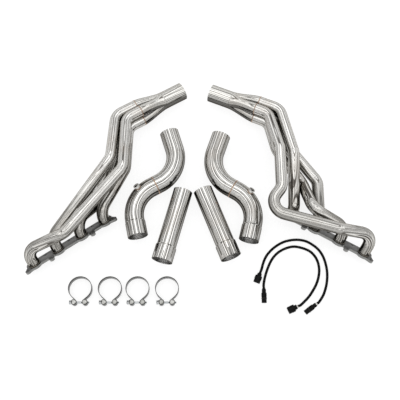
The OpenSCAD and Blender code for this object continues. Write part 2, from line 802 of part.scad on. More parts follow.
module cable_plug_seal(k) {
    groove_w = nose_w - 2 * groove_depth;
    groove_h = nose_h - 2 * groove_depth;
    color("darkorange") in_kit(plug_frame(k))
        translate([boot_l + plug_l + seal_at - seal_w, 0, 0]) difference() {
            rounded_block(seal_w, nose_w + 2 * seal_rise, nose_h + 2 * seal_rise, corner_r);
            translate([-past, 0, 0])
                rounded_block(seal_w + 2 * past, groove_w, groove_h, groove_corner_r);
        }
}

module cable_plug_pins(k) {
    color("gold") in_kit(plug_frame(k)) translate([boot_l + plug_l + nose_l - nose_depth, 0, 0])
        for (y = [-1, 1]) for (z = [-1, 1])
            translate([0, y * pin_pitch[0] / 2, z * pin_pitch[1] / 2]) rotate([0, 90, 0])
                cylinder(d = pin_w, h = pin_l);
}

for (s = [LEFT, RIGHT]) {
    head_flange(s);
    for (i = PRIMARIES)
        primary(s, i);
    collector(s);
    collector_outlet(s);
    s_pipe_upper(s);
    s_pipe_lower(s);
    sensor_bung(s);
    straight_pipe(s);
}
for (k = CLAMPS) {
    clamp_band(k);
    plain_barrel(k);
    threaded_barrel(k);
    clamp_bolt(k);
    clamp_spacer(k);
}
for (k = CABLES) {
    cable_lead(k);
    cable_socket(k);
    cable_socket_boot(k);
    cable_latch(k);
    cable_plug(k);
    cable_plug_boot(k);
    cable_plug_seal(k);
    cable_plug_pins(k);
}
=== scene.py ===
"""Dresses the exhaust kit: finishes, weld beads, threaded bolts, clamp bands, cables, floor and light."""
import json
import math

import bmesh
import bpy
import numpy as np
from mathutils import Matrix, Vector


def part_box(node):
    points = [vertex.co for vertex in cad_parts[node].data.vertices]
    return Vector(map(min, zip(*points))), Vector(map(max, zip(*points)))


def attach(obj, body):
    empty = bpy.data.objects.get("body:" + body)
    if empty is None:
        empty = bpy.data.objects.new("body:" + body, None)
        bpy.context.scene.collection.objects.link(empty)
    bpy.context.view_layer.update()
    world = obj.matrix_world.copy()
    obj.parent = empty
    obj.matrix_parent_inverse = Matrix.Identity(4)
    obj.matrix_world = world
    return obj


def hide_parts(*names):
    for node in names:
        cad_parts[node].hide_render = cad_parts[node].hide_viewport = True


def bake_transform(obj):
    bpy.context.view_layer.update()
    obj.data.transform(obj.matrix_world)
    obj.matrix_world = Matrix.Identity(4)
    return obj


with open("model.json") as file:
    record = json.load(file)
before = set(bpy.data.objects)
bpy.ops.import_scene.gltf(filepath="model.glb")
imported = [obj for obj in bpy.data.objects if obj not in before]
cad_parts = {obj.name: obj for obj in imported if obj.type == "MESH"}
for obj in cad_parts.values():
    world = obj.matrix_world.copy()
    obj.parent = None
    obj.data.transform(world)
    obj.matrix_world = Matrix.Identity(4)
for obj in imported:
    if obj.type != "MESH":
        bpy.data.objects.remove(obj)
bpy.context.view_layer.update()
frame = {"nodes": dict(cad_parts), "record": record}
nodes = frame["nodes"]
body_of_node = {
    node: body for body, members in frame["record"]["behaviour"]["bodies"].items() for node in members
}
slot_of_node = {row["node"]: row["material_slot"] for row in frame["record"]["subparts"]}

# Layout, in metres and degrees, as in the part's source
SIDES = ("left", "right")
LEFT = 0
RIGHT = 1
PRIMARIES = (1, 2, 3, 4)
CLAMPS = (1, 2, 3, 4)
CABLES = (1, 2)
KIT_MIDDLE = Vector((-0.00004, 0.03346, 0.0))
UP = Vector((0, 0, 1))

# Headers
PRIMARY_OD = 0.0445
PRIMARY_PITCH = 0.0455
SEAM_RISE = 0.00015
PORT_PITCH = 0.102
PORT_MIDDLE = sum(PRIMARIES) / len(PRIMARIES)
FLANGE_T = 0.010
PORT_BOSS_R = 0.031
FLANGE_AT = ((-0.491, -0.1775), (0.481, -0.146))
FLANGE_TURN = (33.5, -29)
FLANGE_LIFT = 48
COLLECTOR_AT = ((-0.241, 0.350), (0.226, 0.365))
COLLECTOR_TURN = (31.5, 156)
COLLECTOR_DIP = 4
BUNDLE_LEAN = (18, 24)
NEAR_SIGN = (1, -1)
INLET_STEPS = ((0, 1), (-1, 0), (0, -1), (1, 0))
BUNDLE_R = PRIMARY_PITCH / math.sqrt(2)
COLLECTOR_L = 0.110
OUTLET_OD = 0.070

# S-pipes
PIPE_OD = 0.0734
SLIP_OD = 0.0768
PIPE_BEND_R = 0.122
S_AT = ((-0.1225, 0.270), (0.084, 0.257))
S_TURN = (-73, -108.6)
S_SIDE = (-1, 1)
S_INLET_L = 0.077
S_FIRST_BEND = 78
S_MIDDLE_L = 0.034
BUNG_OD = 0.024
BUNG_TURN = 20
BUNG_LIFT = 50

# Clamps
BOLT_D = 0.008
BOLT_HEX = 0.014

# Cables, each with its route over the floor from socket to plug
CABLE_D = 0.010
SOCKET_H = 0.019
PLUG_H = 0.015
LEVEL_POINTS = 2
CABLE_FLOOR = (
    (
        (0.225, -0.293), (0.231, -0.278), (0.237, -0.257), (0.247, -0.233), (0.262, -0.212),
        (0.286, -0.190), (0.320, -0.171), (0.362, -0.163), (0.400, -0.168), (0.430, -0.185),
        (0.450, -0.204), (0.464, -0.228), (0.472, -0.255), (0.476, -0.284), (0.475, -0.314),
        (0.469, -0.345), (0.458, -0.375), (0.449, -0.390), (0.439, -0.404), (0.431, -0.410),
    ),
    (
        (0.360, -0.420), (0.371, -0.415), (0.387, -0.400), (0.404, -0.382), (0.420, -0.359),
        (0.434, -0.334), (0.443, -0.308), (0.447, -0.281), (0.444, -0.253), (0.434, -0.229),
        (0.416, -0.209), (0.388, -0.196), (0.355, -0.190), (0.322, -0.198), (0.292, -0.216),
        (0.270, -0.242), (0.254, -0.275), (0.243, -0.308), (0.237, -0.337), (0.237, -0.351),
    ),
)


def plan(degrees):
    """Level direction at an angle from +X."""
    angle = math.radians(degrees)
    return Vector((math.cos(angle), math.sin(angle), 0))


def in_kit(point):
    """Layout point in the row frame."""
    return Vector(point) - KIT_MIDDLE


def flange_normal(side):
    """Direction out of a flange, along the stubs of its primaries."""
    lift = math.radians(FLANGE_LIFT)
    return plan(FLANGE_TURN[side] + 90) * math.cos(lift) + UP * math.sin(lift)


def port(side, i):
    """Middle of a port, on the flange's face towards the tubes."""
    lift = math.radians(FLANGE_LIFT)
    z = PORT_BOSS_R * math.cos(lift) + FLANGE_T * math.sin(lift)
    middle = Vector((*FLANGE_AT[side], z))
    return in_kit(middle + plan(FLANGE_TURN[side]) * (i - PORT_MIDDLE) * PORT_PITCH)


def collector_axis(side):
    """Direction from a collector's inlets to its outlet."""
    dip = math.radians(COLLECTOR_DIP)
    return plan(COLLECTOR_TURN[side]) * math.cos(dip) - UP * math.sin(dip)


def collector_middle(side):
    """Point between a collector's four inlets."""
    lean = math.radians(BUNDLE_LEAN[side])
    z = PRIMARY_OD / 2 + SEAM_RISE + BUNDLE_R * math.cos(lean)
    return in_kit((*COLLECTOR_AT[side], z))


def bundle_axes(side):
    """Directions across and up a collector's bundle of tubes."""
    dip = math.radians(COLLECTOR_DIP)
    lean = math.radians(BUNDLE_LEAN[side])
    up = plan(COLLECTOR_TURN[side]) * math.sin(dip) + UP * math.cos(dip)
    near = plan(COLLECTOR_TURN[side] - 90) * NEAR_SIGN[side]
    top = up * math.cos(lean) + near * math.sin(lean)
    across = near * math.cos(lean) - up * math.sin(lean)
    return across, top


def inlets(side):
    """Middles of a collector's four inlets."""
    across, top = bundle_axes(side)
    return [collector_middle(side) + (across * a + top * b) * BUNDLE_R for a, b in INLET_STEPS]


def s_heading(side, leg):
    """Direction of an S-pipe's inlet leg or middle leg."""
    return plan(S_TURN[side] + S_SIDE[side] * S_FIRST_BEND * leg)


def s_weld(side):
    """Middle of the weld between an S-pipe's two bends."""
    trim = PIPE_BEND_R * math.tan(math.radians(S_FIRST_BEND / 2))
    start = in_kit((*S_AT[side], SLIP_OD / 2))
    corner = start + s_heading(side, 0) * (S_INLET_L + trim)
    return corner + s_heading(side, 1) * (trim + S_MIDDLE_L / 2)


# Materials

# Names of the marks on a mesh's points that the materials read
RADIAL = "radial"
CUT_EDGE = "cut_edge"
NEAR_PLATE = "near_plate"
NEAR_PORT = "near_port"
ACROSS = "across"
FACING = "facing"

# Places of the colours on a mix node
MIX_INPUTS = (6, 7)
MIX_OUTPUT = 2

# Usual range of a noise texture's values, and a narrower one for more contrast
NOISE_LOW = 0.3
NOISE_HIGH = 0.7
SHARP_LOW = 0.35
SHARP_HIGH = 0.65


def new_material(name):
    """New material, with its nodes and its shader."""
    material = bpy.data.materials.new(name)
    material.use_nodes = True
    return material, material.node_tree, material.node_tree.nodes["Principled BSDF"]


def add_node(tree, kind, inputs=None, **settings):
    """New shader node with its inputs set to values or linked to sockets."""
    made = tree.nodes.new("ShaderNode" + kind)
    for name, value in settings.items():
        setattr(made, name, value)
    for name, value in (inputs or {}).items():
        if isinstance(value, bpy.types.NodeSocket):
            tree.links.new(value, made.inputs[name])
        else:
            made.inputs[name].default_value = value
    return made


def point_mark(tree, name):
    """Value of a mark on the points of the mesh, or 0 where the mesh lacks it."""
    return add_node(tree, "Attribute", attribute_name=name).outputs["Fac"]


def object_place(tree):
    """Place on the object."""
    return add_node(tree, "TexCoord").outputs["Object"]


def noise(tree, vector, scale, detail):
    """Cloudy values between 0 and 1."""
    inputs = {"Vector": vector, "Scale": scale, "Detail": detail, "Roughness": 0.55}
    return add_node(tree, "TexNoise", inputs).outputs["Fac"]


def line_noise(tree, at, scale, detail):
    """Values between 0 and 1 that change along one number only."""
    inputs = {"W": at, "Scale": scale, "Detail": detail}
    return add_node(tree, "TexNoise", inputs, noise_dimensions="1D").outputs["Fac"]


def calculate(tree, operation, first, second=0.0):
    """Sum, product or other function of one or two values."""
    return add_node(tree, "Math", {0: first, 1: second}, operation=operation).outputs[0]


def map_range(tree, value, low, high, to_low, to_high):
    """Value moved from one range to another and kept inside it."""
    inputs = {"Value": value, "From Min": low, "From Max": high, "To Min": to_low, "To Max": to_high}
    return add_node(tree, "MapRange", inputs).outputs["Result"]


def vary(tree, value, middle, share):
    """Noise turned into values about a middle one, by up to a share of it."""
    return map_range(tree, value, NOISE_LOW, NOISE_HIGH, middle * (1 - share), middle * (1 + share))


def mix_values(tree, factor, first, second):
    """Mix of two numbers."""
    return add_node(tree, "Mix", {"Factor": factor, "A": first, "B": second}).outputs["Result"]


def mix_colors(tree, factor, first, second, blend="MIX"):
    """Mix of two colours, each a socket or three numbers."""
    made = add_node(tree, "Mix", {"Factor": factor}, data_type="RGBA", blend_type=blend)
    for index, value in zip(MIX_INPUTS, (first, second)):
        if isinstance(value, bpy.types.NodeSocket):
            tree.links.new(value, made.inputs[index])
        else:
            made.inputs[index].default_value = (*value, 1)
    return made.outputs[MIX_OUTPUT]


def openness(tree, reach, samples, only_local=False):
    """How much of the surroundings is open within a reach, from 0 to 1."""
    made = add_node(tree, "AmbientOcclusion", {"Distance": reach}, samples=samples, only_local=only_local)
    return made.outputs["AO"]


def bump(tree, height, strength, distance):
    """Surface direction tilted by a height."""
    inputs = {"Height": height, "Strength": strength, "Distance": distance}
    return add_node(tree, "Bump", inputs).outputs["Normal"]


# Streaks of polished tubes, polish lines in their bumps and painted reflection stripes in their colour: their
# start and drift round the tube in radians, their depth in metres, and the noise at which they are dark or
# light
STREAK_START = 7.7
STREAK_DRIFT = 0.1
STREAK_DEPTH = 0.00006
PAINTED_REFLECTION_DARK_AT = 0.40
PAINTED_REFLECTION_LIGHT_AT = 0.53
FINE_STREAKS = 8
FINE_SHARE = 0.2
POLISH_SPREAD = 0.4

# Faint brown cast, in patches
BROWN_CAST = (0.50, 0.43, 0.36)
BROWN_FROM = 0.5
BROWN_FULL = 0.75
BROWN_SHARE = 0.35

# Painted shade near the flange, and on the far side of a tube at its port
PLATE_PAINTED_SHADE = (0.55, 0.54, 0.515)
PLATE_FLANK_PAINTED_SHADE = (0.10, 0.096, 0.088)
PLATE_LOW_SHADE = 0.95
PLATE_SHADE_FULL = 0.6
BEHIND_FULL = 0.25
BEHIND_FROM = 0.7

# Levels are the height of the outward direction: 1 on top of a tube, -1 below it
# Painted shade on a tube's flanks: full at the first level and gone at the second
FLANK_FULL = 0.35
FLANK_FROM = 0.75
# Painted reflection of the white floor, lighter on a tube's underside
UNDERSIDE_PAINTED_REFLECTION = (0.42, 0.41, 0.39)
UNDERSIDE_FULL = -0.65
UNDERSIDE_FROM = -0.35
GRAZING_STEEL = (0.40, 0.385, 0.365)

# Inside of the tubes, found by how little of the tube around is open
INSIDE_REACH = 0.12
INSIDE_FULL = 0.3
INSIDE_FROM = 0.5
# Inner wall: dark at the sides, with a painted highlight along its lowest and highest lines
INSIDE_DARK = (0.36, 0.355, 0.34)
INSIDE_PAINTED_HIGHLIGHT = (0.97, 0.96, 0.94)
INSIDE_SIDE_LEVEL = 0.86
INSIDE_MIDDLE_LEVEL = 0.985
INSIDE_ROUGHNESS = 0.3
INSIDE_METAL = 0.1


def streaks_and_painted_reflections(tree, place, level, near_port, streaks):
    """Streaks that run along a tube, for the painted reflection stripes of its colour and the polish lines of
    its bumps, and the fine ones among them alone.
    """
    turn = calculate(tree, "ARCCOSINE", level)
    turn = mix_values(tree, near_port, turn, point_mark(tree, ACROSS))
    drift = noise(tree, place, scale=7, detail=1.0)
    drift = map_range(tree, drift, 0, 1, STREAK_START - STREAK_DRIFT, STREAK_START + STREAK_DRIFT)
    at = calculate(tree, "ADD", turn, drift)
    broad = line_noise(tree, at, streaks, detail=2.0)
    fine = line_noise(tree, at, streaks * FINE_STREAKS, detail=2.0)
    return mix_values(tree, FINE_SHARE, broad, fine), fine


def flank_shade_share(tree, level, near_plate, near_port, low_shade):
    """How far a point takes the painted shade of the flanks: low on a tube, or on the far side at a port."""
    low = map_range(tree, level, FLANK_FULL, FLANK_FROM, 1, 0)
    behind = map_range(tree, point_mark(tree, FACING), BEHIND_FULL, BEHIND_FROM, 1, 0)
    low = mix_values(tree, near_port, low, behind)
    shade = map_range(tree, near_plate, 0, PLATE_SHADE_FULL, low_shade, PLATE_LOW_SHADE)
    return calculate(tree, "MULTIPLY", low, shade)


def inside_painted_highlight(tree, level):
    """Colour of a tube's inner wall: dark at the sides, with a painted highlight along its lowest and highest
    lines.
    """
    upright = calculate(tree, "ABSOLUTE", level)
    middle = map_range(tree, upright, INSIDE_SIDE_LEVEL, INSIDE_MIDDLE_LEVEL, 0, 1)
    return mix_colors(tree, middle, INSIDE_DARK, INSIDE_PAINTED_HIGHLIGHT)


def polished_steel(name, dark, light, roughness, streaks, reach, shaded, open_at, painted_shade, low_shade):
    """Polished tube: streaks that run along the tube, as polish lines in its bumps and painted reflection
    stripes in its colour, a faint brown cast, painted shade on the flanks, in hollows and near the flange, a
    painted floor reflection underneath, and a dull inside with a painted highlight.
    """
    material, tree, shader = new_material(name)
    place = object_place(tree)
    outward = add_node(tree, "Attribute", attribute_name=RADIAL).outputs["Vector"]
    level = add_node(tree, "SeparateXYZ", {"Vector": outward}).outputs["Z"]
    near_plate = point_mark(tree, NEAR_PLATE)
    near_port = point_mark(tree, NEAR_PORT)
    both, fine = streaks_and_painted_reflections(tree, place, level, near_port, streaks)
    # Painted reflection stripes: the streaks turn the colour from dark to light round the tube
    steel = mix_colors(tree, map_range(tree, both, PAINTED_REFLECTION_DARK_AT, PAINTED_REFLECTION_LIGHT_AT, 0, 1), dark, light)
    cast = map_range(tree, noise(tree, place, scale=9, detail=2.0), BROWN_FROM, BROWN_FULL, 0, BROWN_SHARE)
    steel = mix_colors(tree, cast, steel, BROWN_CAST)
    # Painted shade of the flanks, darker near the flange
    painted_shade = mix_colors(tree, near_plate, painted_shade, PLATE_FLANK_PAINTED_SHADE)
    # Painted shade: darker where the floor and other parts close in round the surface within the reach
    free = map_range(tree, openness(tree, reach, samples=8), shaded, open_at, 0, 1)
    steel = mix_colors(tree, free, painted_shade, steel)
    # Painted shade on the flanks, low on the tube or on its far side at a port
    steel = mix_colors(tree, flank_shade_share(tree, level, near_plate, near_port, low_shade), steel, painted_shade)
    # Painted reflection of the floor: lighter on the underside
    below = map_range(tree, level, UNDERSIDE_FULL, UNDERSIDE_FROM, 1, 0)
    steel = mix_colors(tree, below, steel, UNDERSIDE_PAINTED_REFLECTION)
    # Painted shade near the flange, over the whole colour
    steel = mix_colors(tree, near_plate, steel, PLATE_PAINTED_SHADE, "MULTIPLY")
    around = openness(tree, INSIDE_REACH, samples=4, only_local=True)
    inside = map_range(tree, around, INSIDE_FULL, INSIDE_FROM, 1, 0)
    # Dull inside, with its painted highlight
    steel = mix_colors(tree, inside, steel, inside_painted_highlight(tree, level))
    tree.links.new(steel, shader.inputs["Base Color"])
    rough = mix_values(tree, inside, vary(tree, fine, roughness, POLISH_SPREAD), INSIDE_ROUGHNESS)
    tree.links.new(rough, shader.inputs["Roughness"])
    tree.links.new(bump(tree, both, strength=1.0, distance=STREAK_DEPTH), shader.inputs["Normal"])
    tree.links.new(map_range(tree, inside, 0, 1, 1, INSIDE_METAL), shader.inputs["Metallic"])
    shader.inputs["Specular Tint"].default_value = (*GRAZING_STEEL, 1)
    return material


# Painted shade in the hollows of plain metal: how far a point looks round, and how open it is where the shade
# is full and where it is gone
HOLLOW_REACH = 0.02
HOLLOW_FULL = 0.1
HOLLOW_FROM = 0.6
GRAIN_SPREAD = 0.3


def plain_metal(name, dark, light, roughness, grain, grain_depth, edge_color=None, hollow_shade=0.3):
    """Cut or plated metal with a fine grain, cloudy tone and painted shade in its hollows. Cut edges can have
    a colour.
    """
    material, tree, shader = new_material(name)
    place = object_place(tree)
    cloud = noise(tree, place, scale=35, detail=4.0)
    fine = noise(tree, place, grain, detail=2.0)
    shade = mix_colors(tree, map_range(tree, cloud, NOISE_LOW, NOISE_HIGH, 0, 1), dark, light)
    # Painted shade: darker in hollows
    free = map_range(tree, openness(tree, HOLLOW_REACH, samples=4), HOLLOW_FULL, HOLLOW_FROM, 0, 1)
    shade = mix_colors(tree, free, [c * hollow_shade for c in dark], shade)
    if edge_color:
        shade = mix_colors(tree, point_mark(tree, CUT_EDGE), shade, edge_color)
    tree.links.new(shade, shader.inputs["Base Color"])
    tree.links.new(vary(tree, fine, roughness, GRAIN_SPREAD), shader.inputs["Roughness"])
    tree.links.new(bump(tree, fine, strength=0.6, distance=grain_depth), shader.inputs["Normal"])
    shader.inputs["Metallic"].default_value = 1
    return material


MOULD_SPREAD = 0.15
MOULD_SHINE = 0.06


def moulded(name, dark, light, roughness, grain, grain_depth):
    """Rubber or plastic with a fine moulded grain."""
    material, tree, shader = new_material(name)
    place = object_place(tree)
    cloud = noise(tree, place, scale=60, detail=3.0)
    fine = noise(tree, place, grain, detail=2.0)
    tree.links.new(mix_colors(tree, cloud, dark, light), shader.inputs["Base Color"])
    tree.links.new(vary(tree, fine, roughness, MOULD_SPREAD), shader.inputs["Roughness"])
    tree.links.new(bump(tree, fine, strength=0.5, distance=grain_depth), shader.inputs["Normal"])
    shader.inputs["Specular IOR Level"].default_value = MOULD_SHINE
    return material


WELD_BLUE = (0.30, 0.30, 0.36)
WELD_BLUE_FROM = 0.62
WELD_BLUE_FULL = 0.75
WELD_BLUE_SHARE = 0.5
WELD_ROUGHNESS = (0.28, 0.45)
WELD_GRAIN_DEPTH = 0.0002


def weld_metal(name, dark, light):
    """Heat-tinted weld with a few blue patches."""
    material, tree, shader = new_material(name)
    place = object_place(tree)
    patch = noise(tree, place, scale=120, detail=3.0)
    bead = mix_colors(tree, map_range(tree, patch, SHARP_LOW, SHARP_HIGH, 0, 1), dark, light)
    blue = noise(tree, place, scale=60, detail=2.0)
    blue = map_range(tree, blue, WELD_BLUE_FROM, WELD_BLUE_FULL, 0, WELD_BLUE_SHARE)
    tree.links.new(mix_colors(tree, blue, bead, WELD_BLUE), shader.inputs["Base Color"])
    rough = map_range(tree, patch, NOISE_LOW, NOISE_HIGH, *WELD_ROUGHNESS)
    tree.links.new(rough, shader.inputs["Roughness"])
    fine = noise(tree, place, scale=900, detail=2.0)
    tree.links.new(bump(tree, fine, strength=0.4, distance=WELD_GRAIN_DEPTH), shader.inputs["Normal"])
    shader.inputs["Metallic"].default_value = 1
    return material


FINISHES = {
    # The dark and light of each polished steel are the ends of its painted reflection stripes
    "primary_steel": polished_steel(
        "primary_steel", dark=(0.14, 0.13, 0.12), light=(0.98, 0.97, 0.94), roughness=0.06, streaks=8.0,
        reach=0.09, shaded=0.12, open_at=0.48, painted_shade=(0.34, 0.33, 0.31), low_shade=0.3
    ),
    "collector_steel": polished_steel(
        "collector_steel", dark=(0.18, 0.17, 0.155), light=(0.92, 0.91, 0.87), roughness=0.07, streaks=8.0,
        reach=0.16, shaded=0.45, open_at=0.80, painted_shade=(0.075, 0.072, 0.068), low_shade=0.9
    ),
    "pipe_steel": polished_steel(
        "pipe_steel", dark=(0.12, 0.115, 0.105), light=(0.98, 0.97, 0.94), roughness=0.05, streaks=9.0,
        reach=0.14, shaded=0.50, open_at=0.73, painted_shade=(0.075, 0.072, 0.067), low_shade=0.55
    ),
    "flange_steel": plain_metal(
        "flange_steel", dark=(0.07, 0.07, 0.068), light=(0.13, 0.128, 0.125), roughness=0.34,
        grain=700, grain_depth=0.0003, edge_color=(0.32, 0.32, 0.31)
    ),
    "bung_steel": plain_metal(
        "bung_steel", dark=(0.84, 0.83, 0.80), light=(0.94, 0.93, 0.91), roughness=0.38,
        grain=900, grain_depth=0.0001, hollow_shade=0.85
    ),
    "band_steel": plain_metal(
        "band_steel", dark=(0.018, 0.018, 0.016), light=(0.06, 0.06, 0.055), roughness=0.2,
        grain=800, grain_depth=0.0001
    ),
    "barrel_steel": plain_metal(
        "barrel_steel", dark=(0.36, 0.36, 0.34), light=(0.62, 0.62, 0.60), roughness=0.14,
        grain=900, grain_depth=0.0001, edge_color=(0.17, 0.162, 0.145)
    ),
    "bolt_steel": plain_metal(
        "bolt_steel", dark=(0.42, 0.44, 0.45), light=(0.72, 0.74, 0.75), roughness=0.16,
        grain=900, grain_depth=0.0001
    ),
    "spacer_steel": plain_metal(
        "spacer_steel", dark=(0.62, 0.63, 0.63), light=(0.82, 0.83, 0.83), roughness=0.2,
        grain=900, grain_depth=0.0001
    ),
    "cable_rubber": moulded(
        "cable_rubber", dark=(0.004, 0.004, 0.004), light=(0.009, 0.009, 0.009), roughness=0.55,
        grain=1500, grain_depth=0.0002
    ),
    "connector_plastic": moulded(
        "connector_plastic", dark=(0.005, 0.005, 0.005), light=(0.012, 0.012, 0.012), roughness=0.5,
        grain=2500, grain_depth=0.0001
    ),
    "latch_plastic": moulded(
        "latch_plastic", dark=(0.007, 0.007, 0.007), light=(0.016, 0.016, 0.016), roughness=0.5,
        grain=2500, grain_depth=0.0001
    ),
    "boot_rubber": moulded(
        "boot_rubber", dark=(0.62, 0.61, 0.58), light=(0.78, 0.77, 0.74), roughness=0.5,
        grain=1500, grain_depth=0.0001
    ),
    "seal_rubber": moulded(
        "seal_rubber", dark=(0.020, 0.019, 0.018), light=(0.035, 0.033, 0.031), roughness=0.45,
        grain=1500, grain_depth=0.0001
    ),
    "pin_brass": plain_metal(
        "pin_brass", dark=(0.60, 0.42, 0.16), light=(0.80, 0.60, 0.28), roughness=0.25,
        grain=1500, grain_depth=0.0001
    ),
}
WELD = weld_metal("weld_bead", dark=(0.36, 0.23, 0.15), light=(0.58, 0.42, 0.31))
PORT_WELD = weld_metal("port_weld_bead", dark=(0.15, 0.135, 0.115), light=(0.38, 0.34, 0.28))


def outward_directions(mesh):
    """Outward direction at each point of a mesh, one to a row."""
    directions = np.zeros(len(mesh.vertices) * 3, np.float32)
    mesh.vertex_normals.foreach_get("vector", directions)
    return directions.reshape(-1, 3)


def mark_points(mesh, name, values):
    """Keeps one number for each point of a mesh, for its material to read."""
    marks = mesh.attributes.new(name, "FLOAT", "POINT")
    marks.data.foreach_set("value", values.astype(np.float32))


def finish_mesh(mesh, finish):
    """Gives a mesh its finish, and each point's outward direction for the streaks, painted reflections and
    painted shade of the steel.
    """
    mesh.materials.clear()
    mesh.materials.append(finish)
    directions = mesh.attributes.new(RADIAL, "FLOAT_VECTOR", "POINT")
    directions.data.foreach_set("vector", outward_directions(mesh).ravel())


def new_piece(name, mesh, body):
    """New piece that rides on a body."""
    made = bpy.data.objects.new(name, mesh)
    bpy.context.scene.collection.objects.link(made)
    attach(made, body)
    return made


# Camera: the photograph's view, from in front and high above

CAMERA_DISTANCE = 2.9
CAMERA_ELEVATION = 70
CAMERA_ANGLE = 30
SENSOR_WIDTH = 36

camera = bpy.data.objects.new("camera", bpy.data.cameras.new("camera"))
bpy.context.scene.collection.objects.link(camera)
camera.data.sensor_width = SENSOR_WIDTH
camera.data.angle = math.radians(CAMERA_ANGLE)
camera_target = in_kit((0, 0, 0))
elevation = math.radians(CAMERA_ELEVATION)
camera_back = Vector((0, -math.cos(elevation), math.sin(elevation)))
camera.location = camera_target + camera_back * CAMERA_DISTANCE
camera.rotation_euler = (-camera_back).to_track_quat("-Z", "Y").to_euler()
bpy.context.scene.camera = camera

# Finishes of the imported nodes

PLATE_REACH = 0.16
PORT_REACH = 0.20
PORT_FADE = 0.08


def mark_primary(mesh, side, i):
    """Marks how near each point of a primary is to its flange and its port, from 1 down to 0, and its angle
    from the plane in which the tube bends at the port, so that the streaks follow the bend."""
    points = np.zeros(len(mesh.vertices) * 3, np.float32)
    mesh.vertices.foreach_get("co", points)
    points = points.reshape(-1, 3) - np.array(port(side, i))
    rise = np.array(flange_normal(side))
    height = points @ rise
    away = np.linalg.norm(points, axis=1)
    on_plate = (points - np.outer(height, rise))[away < PORT_REACH]
    on_plate = on_plate - on_plate.mean(axis=0)
    heading = np.linalg.eigh(on_plate.T @ on_plate)[1][:, -1]
    sideways = np.cross(rise, heading)
    if sideways[1] > 0:
        sideways = -sideways
    facing = np.arcsin(np.clip(outward_directions(mesh) @ sideways, -1, 1))
    mark_points(mesh, NEAR_PLATE, np.clip(1 - height / PLATE_REACH, 0, 1))
    mark_points(mesh, NEAR_PORT, np.clip((PORT_REACH - away) / PORT_FADE, 0, 1))
    mark_points(mesh, FACING, facing)
    mark_points(mesh, ACROSS, np.abs(facing))


for name, node in nodes.items():
    finish_mesh(node.data, FINISHES[slot_of_node[name]])
for side in (LEFT, RIGHT):
    for i in PRIMARIES:
        mark_primary(nodes[f"{SIDES[side]}_primary_{i}"].data, side, i)

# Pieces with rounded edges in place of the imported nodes

SAME_POINT = 2e-6
FLAT_ANGLE = math.radians(0.5)
ROUNDED_ANGLE = math.radians(35)
SMOOTH_ANGLE = math.radians(40)
FLANGE_ROUND = 0.0008
BUNG_ROUND = 0.0007
BARREL_ROUND = 0.0005
SPACER_ROUND = 0.0004
BAND_ROUND = 0.0003
CONNECTOR_ROUND = {"socket": 0.0006, "plug": 0.0006, "latch": 0.0004}

# How far a point may face along with its plate and still count wholly, or in part, as its rim
RIM_FULL = 0.3
RIM_END = 0.8


def mesh_of(build, name):
    """Turns a bmesh into a smooth mesh that keeps its true edges."""
    bmesh.ops.recalc_face_normals(build, faces=build.faces)
    mesh = bpy.data.meshes.new(name)
    build.to_mesh(mesh)
    build.free()
    mesh.shade_smooth()
    mesh.set_sharp_from_angle(angle=SMOOTH_ANGLE)
    return mesh


def rounded_mesh(node, width):
    """Copy of a node's mesh with its sharp edges rounded off."""
    build = bmesh.new()
    build.from_mesh(nodes[node].data)
    bmesh.ops.remove_doubles(build, verts=build.verts, dist=SAME_POINT)
    bmesh.ops.dissolve_limit(build, angle_limit=FLAT_ANGLE, verts=build.verts, edges=build.edges)
    sharp = [edge for edge in build.edges if edge.calc_face_angle(0) > ROUNDED_ANGLE]
    bmesh.ops.bevel(
        build, geom=sharp, offset=width, segments=2, profile=0.5, affect="EDGES", clamp_overlap=True
    )
    bmesh.ops.triangulate(build, faces=build.faces)
    return mesh_of(build, node)


def round_off(node, piece_name, width):
    """Stands a rounded copy in for a node."""
    mesh = rounded_mesh(node, width)
    finish_mesh(mesh, FINISHES[slot_of_node[node]])
    made = new_piece(piece_name, mesh, body_of_node[node])
    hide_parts(node)
    return made


def mark_cut_edges(mesh, face_normal):
    """Marks the points of a plate's rim, whose outward direction lies in the plate."""
    tilt = np.abs(outward_directions(mesh) @ np.array(face_normal))
    mark_points(mesh, CUT_EDGE, np.clip((RIM_END - tilt) / (RIM_END - RIM_FULL), 0, 1))


for side in (LEFT, RIGHT):
    label = SIDES[side]
    plate = round_off(f"{label}_flange", f"{label}_flange_plate", FLANGE_ROUND)
    mark_cut_edges(plate.data, flange_normal(side))
    round_off(f"{label}_sensor_bung", f"{label}_bung_body", BUNG_ROUND)
for k in CLAMPS:
    for name in ("plain", "threaded"):
        pin = round_off(f"clamp_{k}_{name}_barrel", f"clamp_{k}_{name}_pin", BARREL_ROUND)
        mark_cut_edges(pin.data, UP)
    round_off(f"clamp_{k}_spacer", f"clamp_{k}_collar", SPACER_ROUND)

# Collectors: four round lobes that flow into the outlet

LOBES = 4
LOBE_POINTS = 44
LOBE_HALF = math.radians(131)
SEAM_GAP = 0.4
OUTLET_HALF = math.radians(180 / LOBES - SEAM_GAP)
EVEN_FLOW = 0.4
MERGE_STEPS = 36
MERGE_WALL = 0.0016


def bridge(build, first, second):
    """Joins two closed rings of points with faces."""
    count = len(first)
    for i in range(count):
        k = (i + 1) % count
        build.faces.new((first[i], first[k], second[k], second[i]))


